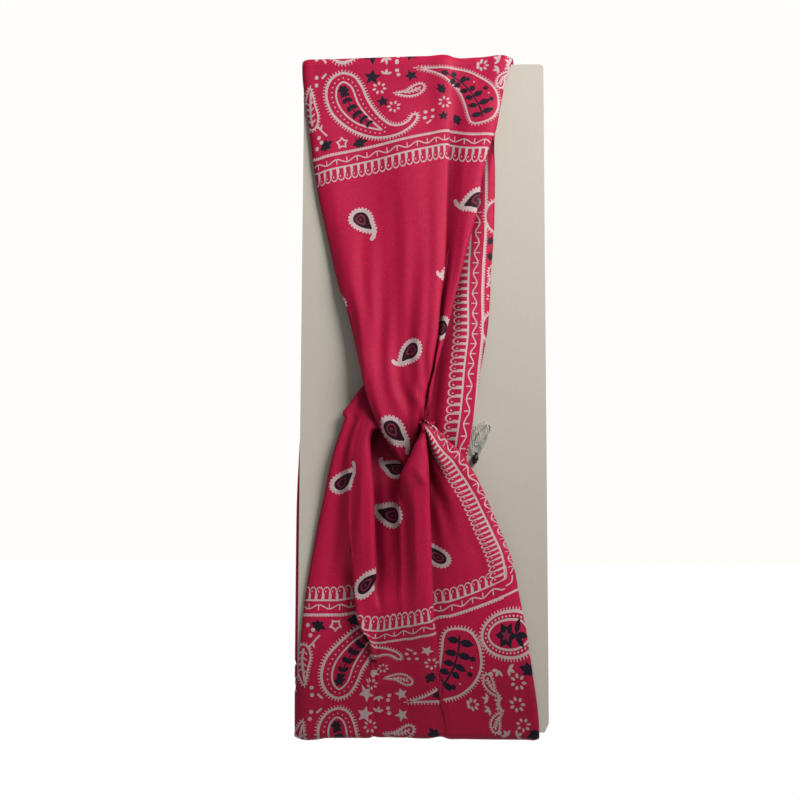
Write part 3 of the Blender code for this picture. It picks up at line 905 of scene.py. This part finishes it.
def even(line, spacing, closed=True):
    """Points at even distances along a line, with the line's normals there."""
    full = np.vstack([line, line[:1]]) if closed else line
    length = np.concatenate([[0], np.cumsum(np.linalg.norm(np.diff(full, axis=0), axis=1))])
    count = max(2, int(round(length[-1] / spacing)))
    at = np.arange(count) * length[-1] / count
    points = np.stack([np.interp(at, length, full[:, k]) for k in (0, 1)], axis=1)
    return points, normals_of(points, closed)


class Print:
    """The shapes of one strap's print, in the order they are laid down."""

    def __init__(self):
        self.shapes = []

    def fill(self, outline, colour):
        self.shapes.append((np.asarray(outline, float), colour))

    def mirror(self):
        """Repeats everything drawn so far in mirror image beyond the mirror line."""
        self.shapes += [(outline * (1, -1) + (0, 2 * MIRROR), colour) for outline, colour in self.shapes]

    def stroke(self, points, width, colour=WHITE):
        line = curve(points, steps=4)
        across = normals_of(line, False) * (width / 2)
        self.fill(np.vstack([line + across, (line - across)[::-1]]), colour)

    def leaf(self, at, angle, length, width, colour):
        rib = [(0, 0), (0.3, 0.42), (0.65, 0.40), (1, 0), (0.65, -0.40), (0.3, -0.42)]
        self.fill(place(np.array(rib) * (length, width), at, angle), colour)

    def dot(self, at, radius, colour=WHITE):
        self.fill(circle(7) * radius + at, colour)

    def star(self, at, radius, colour, arms, angle, waist):
        radii = np.where(np.arange(arms * 2) % 2, radius * waist, radius)
        self.fill(circle(arms * 2, math.radians(angle)) * radii[:, None] + at, colour)

    def flower(self, at, radius, petals, angle):
        for i in range(petals):
            turn = angle + i * 360 / petals
            start = place([(radius * 0.42, 0)], at, turn)[0]
            self.leaf(start, turn, radius * 0.62, radius * 0.42, WHITE)

    def fringe(self, ring, spacing, length, width):
        """Short ticks that stand out from a closed outline."""
        points, out = even(ring, spacing)
        for p, n in zip(points, out * -winding(ring)):
            side = np.array((-n[1], n[0])) * width / 2
            self.fill([p - side - n * 0.15, p - side * 0.7 + n * length, p + side * 0.7 + n * length,
                       p + side - n * 0.15], WHITE)

    def rimmed(self, ring, rim, spacing, length, width=0.42):
        """A fringed white outline, rim wide, with a pink inside."""
        self.fringe(ring, spacing, length, width)
        self.fill(ring, WHITE)
        self.fill(grow(ring, -rim), PINK)

    def sprig(self, points, leaves, size):
        """A navy stem with paired leaves, larger in the middle, that grows from a star."""
        line = curve(points, steps=4)
        self.stroke(points, 0.45, NAVY)
        spots, out = even(line, 1.0, closed=False)
        chosen = np.linspace(1, len(spots) - 1, leaves).astype(int)
        for k, i in enumerate(chosen):
            swell = size * (0.75 + 0.35 * math.sin(math.pi * (k + 0.5) / leaves))
            for side in (1, -1):
                u, d = out[i] * side + (spots[i] - spots[i - 1]) * 0.9
                angle = math.degrees(math.atan2(d, u))
                self.leaf(spots[i], angle, swell, swell * 0.72, NAVY)
        self.star(line[0], size * 0.9, NAVY, 6, 0, 0.6)

    def small_paisley(self, at, angle, flip, size):
        """A dark drop with a scalloped white rim, an eye and a curled white tail."""
        drop = [(-2.7, -0.2), (-2.3, 1.4), (-1.0, 2.5), (0.8, 2.8), (2.8, 2.6), (5.0, 2.5), (4.4, 1.2),
                (3.0, -0.6), (1.2, -2.0), (-0.6, -2.5), (-2.2, -1.6)]
        drop = np.array(drop) * (1, flip)
        ring = curve(drop, closed=True, steps=4)
        body = place(grow(ring, 0.85), at, angle, size)
        self.fringe(body, 1.2, 0.42, 0.85)
        self.fill(body, WHITE)
        for x, y, r in ((5.7, 2.5, 0.85), (6.4, 2.2, 0.75), (7.0, 1.8, 0.8), (7.4, 1.2, 0.7)):
            self.dot(place([(x, y * flip)], at, angle, size)[0], r * size)
        inner = curve(drop * (0.88, 0.88), closed=True, steps=4)
        self.fill(place(inner, at, angle, size), PLUM)
        eye = [(-1.5, 0.1), (-0.9, 1.3), (0.4, 1.4), (2.2, 0.7), (1.2, -0.8), (-0.6, -1.4)]
        eye = curve(np.array(eye) * (1, flip), closed=True, steps=3)
        self.fill(place(eye, at, angle, size), ROSE)
        self.fill(place(eye * 0.72, at, angle, size), PLUM)
        self.dot(place([(0.0, 0.0)], at, angle)[0], 0.42, ROSE)


def border_run(draw, start, end, put):
    """Loops, line, vine and serrated line along one side of the frame.

    put(a, b) turns a place along the run and a height above the frame line into (u, d).
    """

    def fill(points, colour):
        draw.fill([put(a, b) for a, b in points], colour)

    def bar(a0, a1, b0, b1):
        fill([(a0, b0), (a1, b0), (a1, b1), (a0, b1)], WHITE)

    unit = 2.42             # one loop of the fringe
    count = int(round((end - start) / unit))
    for i in range(count):
        a = start + i * unit
        lobe = [(a, 0), (a, -3.6), (a + 0.25, -4.5), (a + 0.8, -5.1), (a + 1.6, -5.1),
                (a + 2.2, -4.5), (a + unit, -3.6), (a + unit, 0)]
        fill(lobe, WHITE)
        boot = [(a + 0.68, -0.3), (a + 0.68, -2.3), (a + 0.34, -2.6), (a + 0.30, -3.9), (a + 0.85, -4.65),
                (a + 1.6, -4.6), (a + 2.18, -3.8), (a + 2.18, -0.3)]
        fill(boot, PINK)
        bar(a + 0.78, a + 1.15, -3.0, -3.6)
    bar(start, end, -0.32, 0.32)
    wave = 7.1              # one wave of the vine
    line = np.array([(a, 2.35 + 0.75 * math.sin(2 * math.pi * a / wave))
                     for a in np.arange(start, end + 0.01, wave / 8)])
    side = normals_of(line, False) * 0.21
    fill(np.vstack([line + side, (line - side)[::-1]]), WHITE)
    for i in range(int((end - start) / wave * 2)):
        a = start + (wave / 4 - start) % (wave / 2) + i * wave / 2
        if a > end:
            break
        top = math.sin(2 * math.pi * a / wave) > 0
        b = 3.1 if top else 1.6
        low, high = (b - 1.9, b) if top else (b, b + 1.9)
        bar(a - 0.17, a + 0.17, low, high)
    bar(start, end, 4.7, 5.3)
    tooth = 0.95            # one tooth of the serrated line
    for i in range(int((end - start) / tooth)):
        a = start + i * tooth
        fill([(a, 5.2), (a + tooth * 0.2, 5.75), (a + tooth * 0.75, 5.75), (a + tooth, 5.2)], WHITE)


def draw_border(draw):
    """The frame: across the cloth and, turning a corner, down its right margin."""
    border_run(draw, -48.4, FRAME, lambda a, b: (a, LINE + b))
    border_run(draw, -40.0, LINE, lambda a, b: (FRAME + b, a))
    for b, width in ((0.0, 0.64), (5.0, 0.6)):
        bend = [(FRAME + b * over, LINE + b * up) for over, up in ((0.5, 0.98), (0.86, 0.86), (0.98, 0.5))]
        corner = [(FRAME - 1, LINE + b), *bend, (FRAME + b, LINE - 1)]
        draw.stroke(corner, width)
    draw.stroke([(FRAME, LINE + 2.4), (FRAME + 2.0, LINE + 2.0), (FRAME + 2.4, LINE)], 0.42)


def draw_hook(draw):
    """The large paisley whose tail curls over."""
    outer = [(-28.8, 117.2), (-32.6, 115.4), (-34.9, 111.6), (-35.3, 107.0), (-33.6, 101.8), (-28.7, 96.4),
             (-22.9, 92.6), (-17.1, 90.6), (-10.9, 90.6), (-6.4, 93.0), (-4.2, 96.2), (-4.6, 98.3),
             (-6.6, 98.0), (-8.0, 95.9), (-10.4, 94.9), (-13.3, 95.5), (-16.2, 98.4), (-18.9, 102.6),
             (-20.8, 107.0), (-22.1, 111.6), (-24.6, 115.8)]
    draw.rimmed(curve(outer, closed=True), 0.85, 1.05, 0.8)
    inner = [(-28.6, 113.9), (-31.2, 111.8), (-31.9, 107.6), (-30.2, 102.8), (-25.8, 98.0), (-19.0, 94.4),
             (-16.9, 94.1), (-18.6, 96.4), (-21.4, 100.4), (-24.1, 105.4), (-25.6, 111.4)]
    line = curve(inner, closed=True)
    dots, _ = even(grow(line, 1.15), 1.75)
    for spot in dots:
        draw.dot(spot, 0.27)
    draw.fill(line, WHITE)
    draw.fill(grow(line, -0.62), PINK)
    draw.sprig([(-28.9, 110.6), (-27.9, 106.6), (-25.6, 102.0), (-21.2, 97.2)], 6, 2.5)


def draw_big_leaf(draw, at, size, flip):
    """The large leaf-shaped paisley that holds a navy branch; flip -1 turns it upside down."""

    def put(points):
        return (np.array(points, float) - (12, 105)) * (size, size * flip) + at

    outer = [(-4.0, 117.8), (3.0, 117.9), (9.6, 117.6), (15.6, 116.6), (20.4, 114.2), (24.8, 110.2),
             (27.2, 105.4), (27.2, 99.8), (25.2, 95.4), (21.6, 93.2), (17.6, 92.8), (15.5, 95.4),
             (14.2, 100.8), (12.2, 106.6), (8.0, 111.6), (2.6, 115.2)]
    draw.rimmed(curve(put(outer), closed=True), 0.75, 1.1, 0.8)
    draw.stroke(put([(7.4, 114.8), (13.0, 111.6), (17.2, 106.6), (19.8, 101.0), (21.0, 95.6)]), 0.6, NAVY)
    for u, d, angle, length in ((8.6, 114.6, 165, 3.4), (10.8, 113.2, 100, 2.6), (10.6, 112.8, 250, 3.2),
                                (13.8, 110.8, 70, 3.4), (13.4, 110.8, 215, 3.6), (16.2, 107.8, 200, 3.6),
                                (17.0, 107.2, 55, 3.0), (18.0, 104.8, 35, 4.2), (18.2, 104.6, 190, 3.6),
                                (19.6, 101.4, 25, 4.6), (19.6, 101.2, 190, 4.0), (20.6, 97.6, 22, 4.8),
                                (20.8, 97.4, 200, 4.2)):
        draw.leaf(put([(u, d)])[0], angle * flip, length * 1.06 * size, 2.7 * size, NAVY)
    for u, d in ((22.6, 108.4), (24.4, 103.6), (16.2, 112.6)):
        draw.dot(put([(u, d)])[0], 0.95 * size, NAVY)
    for u, d in ((18.6, 111.4), (23.6, 106.2), (12.6, 108.0)):
        draw.dot(put([(u, d)])[0], 0.35 * size)


def draw_white_leaf(draw, at, angle, size):
    """A small white paisley with a veined heart."""
    drop = [(-6.2, 1.4), (-4.2, -0.6), (-1.0, -2.2), (2.4, -2.2), (5.0, -0.6), (5.6, 1.6), (4.0, 2.9),
            (1.0, 2.4), (-2.0, 1.2)]
    ring = place(curve(drop, closed=True, steps=4), at, angle, size)
    draw.rimmed(ring, 0.7 * size, 0.95, 0.5, 0.5)
    draw.stroke(place([(-2.6, 0.2), (0.6, 0.2), (4.0, 0.9)], at, angle, size), 0.5)
    for x in (-1.4, 0.0, 1.4, 2.8):
        for side in (1, -1):
            tip = place([(x, 0.2), (x + 0.9, 0.3 + side * 1.0)], at, angle, size)
            draw.stroke(tip, 0.45)


def draw_dark_leaf(draw, at, angle, size):
    """A navy sprig with six short lobes."""
    for turn, long in ((0, 2.6), (48, 1.9), (-48, 1.9), (110, 1.4), (-110, 1.4), (180, 1.7)):
        draw.leaf(at, angle + turn, long * size, 1.35 * size, NAVY)


def draw_scatter(draw, stars):
    """The small marks between the large paisleys; stars is the ink of the largest."""
    for u, d, r, angle in ((-18.7, 114.8, 2.8, 10), (-5.5, 114.6, 2.3, 40), (-15.9, 105.0, 2.2, 20),
                           (5.3, 95.2, 2.2, 15)):
        draw.star((u, d), r * 1.12, stars, 5, angle, 0.46)
    for u, d, angle in ((5.4, 107.4, 120), (11.0, 94.2, 300), (-25.6, 90.8, 10), (-37.4, 92.0, 25),
                        (42.0, 108.2, 200)):
        draw_dark_leaf(draw, (u, d), angle, 1.3)
    for u, d, r in ((-16.6, 110.4, 2.5), (-12.3, 102.4, 2.4), (6.2, 101.6, 2.8), (38.0, 111.4, 2.6),
                    (36.6, 118.6, 2.7), (21.4, 118.8, 2.2)):
        draw.flower((u, d), r, 7, u * 7)
    draw.star((-31.3, 92.0), 2.3, WHITE, 5, 18, 0.62)
    draw.star((-31.3, 92.0), 1.4, PINK, 5, 18, 0.62)
    for u, d in ((-1.6, 98.2), (1.2, 98.6), (-2.0, 95.6), (1.0, 95.6), (-37.6, 115.6), (-37.9, 113.0),
                 (-10.2, 117.0), (-9.8, 115.2), (-39.4, 95.4), (-40.6, 92.0), (-38.6, 93.6), (29.4, 108.6)):
        draw.dot((u, d), 0.75)
    draw_white_leaf(draw, (28.6, 112.6), 245, 0.75)
    draw.stroke([(-35.8, 115.2), (-34.2, 116.8)], 0.7)
    draw.stroke([(-1.6, 93.0), (0.4, 94.2)], 0.7)
    for u, d, angle in ((-14.0, 115.6, 80), (27.0, 116.8, 200), (32.0, 107.6, 120),
                        (31.0, 119.6, 160), (35.4, 107.4, 30)):
        for turn in (0, 60, -60):
            draw.leaf((u, d), angle + turn, 2.3, 1.1, WHITE)


def draw_edge_paisleys(draw):
    """Paisleys that the cloth's long sides cut through."""
    drop = [(-40.4, 112.6), (-43.6, 107.8), (-44.6, 102.4), (-43.0, 98.6), (-40.2, 98.8), (-38.6, 102.0),
            (-39.2, 106.6)]
    draw.rimmed(curve(drop, closed=True), 0.6, 1.0, 0.6, 0.5)
    draw.stroke([(-41.6, 99.8), (-41.8, 104.0), (-40.4, 110.8)], 0.9)
    for d in (100.8, 102.8, 104.8, 106.8):
        draw.stroke([(-43.4, d + 0.9), (-41.7, d), (-40.1, d + 0.9)], 0.5)
    draw.stroke([(-39.6, 99.4), (-37.6, 97.0), (-36.2, 95.4)], 0.6)
    draw.leaf((-38.4, 97.8), 70, 2.0, 0.9, WHITE)
    oval = [(27.8, 98.2), (29.8, 102.0), (34.2, 104.4), (39.6, 104.8), (44.4, 102.6), (45.8, 98.6),
            (43.6, 94.6), (38.8, 92.6), (33.2, 92.4), (29.2, 94.6)]
    ring = curve(oval, closed=True)
    draw.rimmed(ring, 0.8, 1.0, 0.8)
    dots, _ = even(grow(ring, -1.6), 1.2)
    for spot in dots:
        draw.dot(spot, 0.3)
    draw.fill(grow(ring, -2.2), WHITE)
    draw.fill(grow(ring, -2.8), PINK)
    draw.star((36.0, 98.6), 3.6, NAVY, 6, 12, 0.6)
    draw.star((36.0, 98.6), 1.7, ROSE, 5, 0, 0.5)
    for turn in (15, 60, 300):
        draw.leaf((39.0, 98.8), turn, 4.2, 1.8, NAVY)


def draw_margin(draw):
    """Marks in the narrow margin outside the frame's right side."""
    for d in (60.8, 21.8, -17.2):
        draw.rimmed(circle(16) * (4.4, 5.8) + (47.0, d), 0.7, 1.0, 0.7)
        draw_dark_leaf(draw, (44.9, d - 8.8), 70, 0.8)
        draw_dark_leaf(draw, (45.2, d - 14.2), 95, 0.8)
        draw_white_leaf(draw, (46.2, d - 21.0), 80, 0.6)
        draw.flower((46.0, d - 28.4), 1.6, 6, 20)


def draw_print(paisleys, stars):
    """The whole print of a strap.

    paisleys lists (u, d, heading of the tail, flip, size); stars colours the largest star marks.
    """
    draw = Print()
    for u, d, angle, flip, size in paisleys:
        draw.small_paisley((u, d), angle, flip, size)
    draw_border(draw)
    draw_margin(draw)
    draw_edge_paisleys(draw)
    draw_scatter(draw, stars)
    draw_hook(draw)
    draw_white_leaf(draw, (-5.9, 107.8), 12, 0.92)
    draw.mirror()
    draw_big_leaf(draw, (12, 105), 1.0, 1)
    draw_big_leaf(draw, (12, 139.5), 0.62, -1)
    return draw.shapes


def paint(places, shapes):
    """The ink at each place: the last shape that holds it wins."""
    ink = np.zeros(len(places), int)
    order = np.argsort(places[:, 1])
    sorted_places = places[order]
    for outline, colour in shapes:
        low, high = outline.min(0), outline.max(0)
        first, last = np.searchsorted(sorted_places[:, 1], (low[1], high[1]))
        near = order[first:last]
        near = near[(places[near, 0] >= low[0]) & (places[near, 0] <= high[0])]
        if not len(near):
            continue
        x, y = places[near, 0][:, None], places[near, 1][:, None]
        x0, y0 = outline[:, 0][None], outline[:, 1][None]
        x1, y1 = np.roll(x0, -1, axis=1), np.roll(y0, -1, axis=1)
        run = np.where(y1 == y0, 1e-12, y1 - y0)
        crosses = ((y0 > y) != (y1 > y)) & (x < (x1 - x0) * (y - y0) / run + x0)
        ink[near[crosses.sum(1) % 2 == 1]] = colour
    return ink


UPPER_PAISLEYS = [(-27.4, 62.2, -74, 1, 1.15), (22.6, 65.4, 176, 1, 1.15), (13.8, 20.6, 180, -1, 1.15),
                  (7.2, 40.6, 178, 1, 0.9), (-38.4, 31.5, 110, 1, 1.15), (-7.3, 13.0, 199, 1, 1.15),
                  (-21.9, -11.2, -90, 1, 1.0)]
LOWER_PAISLEYS = [(-20.4, 68.9, -66, 1, 1.15), (17.8, 65.6, 215, 1, 1.15), (-4.3, 47.7, 175, 1, 1.15),
                  (-35.4, 37.4, -71, 1, 1.15), (-2.6, 31.8, 225, -1, 1.0)]


# ---------------------------------------------------------------- materials


class Look:
    """A material whose nodes are added one at a time."""

    def __init__(self, name):
        self.material = bpy.data.materials.new(name)
        self.material.use_nodes = True
        self.tree = self.material.node_tree
        self.shader = self.tree.nodes["Principled BSDF"]

    def node(self, kind, inputs=None, **settings):
        made = self.tree.nodes.new("ShaderNode" + kind)
        for key, value in settings.items():
            setattr(made, key, value)
        for key, value in (inputs or {}).items():
            self.put(made, key, value)
        return made

    def put(self, node, key, value):
        if isinstance(value, bpy.types.NodeSocket):
            self.tree.links.new(value, node.inputs[key])
        else:
            node.inputs[key].default_value = value

    def set(self, **inputs):
        for key, value in inputs.items():
            self.put(self.shader, key.replace("_", " "), value)

    def place(self):
        """Places in the object's own coordinates."""
        return self.node("TexCoord").outputs["Object"]

    def math(self, operation, a, b):
        return self.node("Math", {0: a, 1: b}, operation=operation).outputs[0]

    def between(self, factor, low, high):
        """Turns a 0 to 1 value into the range low to high."""
        return self.node("MapRange", {"Value": factor, "To Min": low, "To Max": high}).outputs[0]

    def noise(self, where, scale, detail=2.0, rough=0.5):
        made = self.node("TexNoise", {"Vector": where, "Scale": scale, "Detail": detail, "Roughness": rough})
        return made.outputs["Fac"]

    def wave(self, where, scale, distortion):
        inputs = {"Vector": where, "Scale": scale, "Distortion": distortion, "Detail": 1.0}
        return self.node("TexWave", inputs).outputs["Fac"]

    def stretched(self, where, scale, turn=0.0):
        made = self.node("Mapping", {"Vector": where, "Scale": scale, "Rotation": (0, 0, turn)})
        return made.outputs[0]

    def tinted(self, colour, value):
        made = self.node("HueSaturation", {"Color": colour, "Value": value})
        return made.outputs["Color"]

    def bump(self, height, distance, strength):
        made = self.node("Bump", {"Height": height, "Distance": distance, "Strength": strength})
        return made.outputs["Normal"]


def satin_print():
    """Satin knit: the printed inks, a fine diagonal knit, soft sheen and slight unevenness.

    Painted shade: the base colour is a little darker deep in the folds and towards the lower end.
    """
    look = Look("printed_satin_knit")
    cloth = look.node("UVMap", uv_map="cloth").outputs[0]
    ink = look.node("Attribute", attribute_name="print").outputs["Color"]
    waves = []
    for turn in (0.62, -0.62):
        turned = look.stretched(cloth, (1, 1, 1), turn)
        waves.append(look.wave(turned, 52.0, 0.6))
    knit = look.math("MULTIPLY", waves[0], waves[1])
    grain = look.noise(look.stretched(cloth, (1.0, 0.55, 1.0)), 130.0, 3.0, 0.65)
    patches = look.noise(cloth, 5.0, 3.0)
    value = look.math("MULTIPLY", look.between(knit, 0.86, 1.10), look.between(grain, 0.72, 1.28))
    value = look.math("MULTIPLY", value, look.between(patches, 0.93, 1.07))
    # Painted shade: the base colour darkens to 0.64 of itself from 78 mm to 106 mm below the card's middle,
    # towards the bottom.
    height = look.node("SeparateXYZ", {0: look.place()}).outputs["Z"]
    painted_shade_and_wear = look.node("MapRange", {"Value": height, "From Min": -0.106, "From Max": -0.078, "To Min": 0.64})
    value = look.math("MULTIPLY", value, painted_shade_and_wear.outputs[0])
    # Painted shade: ambient occlusion darkens the base colour deep in the folds, down to 0.36 of itself.
    fold_shade_occlusion = look.node("AmbientOcclusion", {"Distance": 0.02}, samples=6).outputs["AO"]
    depth = look.node("MapRange", {"Value": fold_shade_occlusion, "From Min": 0.30, "From Max": 0.92, "To Min": 0.36})
    value = look.math("MULTIPLY", value, depth.outputs[0])
    look.set(Base_Color=look.tinted(ink, value), Roughness=look.between(grain, 0.38, 0.52))
    look.set(Specular_IOR_Level=0.22, Sheen_Weight=0.16, Sheen_Roughness=0.35,
             Sheen_Tint=(1.0, 0.35, 0.45, 1))
    relief = look.math("ADD", knit, look.math("MULTIPLY", grain, 0.8))
    look.set(Normal=look.bump(relief, 0.00012, 0.7))
    return look.material


def card_stock():
    """White uncoated board with fine fibre and faint mottling."""
    look = Look("white_card_stock")
    where = look.place()
    fibre = look.noise(look.stretched(where, (1.0, 1.0, 0.35)), 900.0, 3.0)
    mottle = look.noise(where, 16.0, 4.0)
    value = look.math("MULTIPLY", look.between(fibre, 0.975, 1.02), look.between(mottle, 0.96, 1.03))
    colour = look.tinted((0.80, 0.755, 0.665, 1), value)
    look.set(Base_Color=colour, Roughness=0.62, Specular_IOR_Level=0.3)
    look.set(Normal=look.bump(fibre, 0.00004, 0.5))
    return look.material


def clear_nylon():
    """Clear nylon thread: nearly colourless, glossy, a little cloudy."""
    look = Look("clear_nylon_thread")
    where = look.place()
    cloud = look.noise(where, 700.0, 2.0)
    look.set(Base_Color=look.tinted((0.86, 0.87, 0.86, 1), look.between(cloud, 0.92, 1.05)))
    look.set(Roughness=look.between(cloud, 0.10, 0.24), IOR=1.53, Transmission_Weight=0.55, Coat_Weight=0.3)
    look.set(Normal=look.bump(cloud, 0.00002, 0.4))
    return look.material


def black_nylon():
    """Moulded black nylon with a satin surface and worn ridges."""
    look = Look("black_moulded_nylon")
    where = look.place()
    grain = look.noise(where, 2600.0, 3.0)
    painted_shade_and_wear = look.node("NewGeometry").outputs["Pointiness"]
    shade = look.math("ADD", look.between(grain, 0.85, 1.1), look.between(painted_shade_and_wear, -0.4, 0.4))
    look.set(Base_Color=look.tinted((0.016, 0.013, 0.016, 1), shade))
    look.set(Roughness=look.between(grain, 0.34, 0.5))
    look.set(Normal=look.bump(grain, 0.00002, 0.6))
    return look.material


def seam_thread():
    """Pink knit edge with overlock thread: fine ribs across it and uneven dye."""
    look = Look("overlock_thread")
    where = look.place()
    ribs = look.wave(where, 420.0, 1.2)
    dye = look.noise(where, 60.0, 3.0)
    value = look.math("MULTIPLY", look.between(ribs, 0.8, 1.1), look.between(dye, 0.85, 1.12))
    look.set(Base_Color=look.tinted((0.60, 0.03, 0.12, 1), value), Roughness=0.72, Sheen_Weight=0.2)
    look.set(Normal=look.bump(ribs, 0.00008, 0.8))
    return look.material


def finish(piece, body, node, material):
    """Gives a made piece its material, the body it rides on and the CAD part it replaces."""
    piece.data.materials.append(material)
    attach(piece, body)
    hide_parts(node)


def build_scene():
    """Camera, studio and every piece, each finished with its body, CAD node and material."""
    make_camera()
    make_studio()
    satin = satin_print()
    art = draw_print(UPPER_PAISLEYS, NAVY)
    upper = build_cloth("upper_cloth", upper_ribs, 1, UPPER_END, art, (1.0, 0.0))
    art = draw_print(LOWER_PAISLEYS, WHITE)
    lower = build_cloth("lower_cloth", lower_ribs, -1, LOWER_END, art, (1.06, 1.5))
    finish(upper, "headband", "upper_strap", satin)
    finish(lower, "headband", "lower_strap", satin)
    finish(make_tag_loop(), "headband", "tag_loop", clear_nylon())
    finish(make_tag_lock(), "headband", "tag_lock", black_nylon())
    finish(make_seam(), "headband", "overlock_seam", seam_thread())
    card = bpy.data.objects["display_card"]
    card.data.materials.clear()
    card.data.materials.append(card_stock())


build_scene()
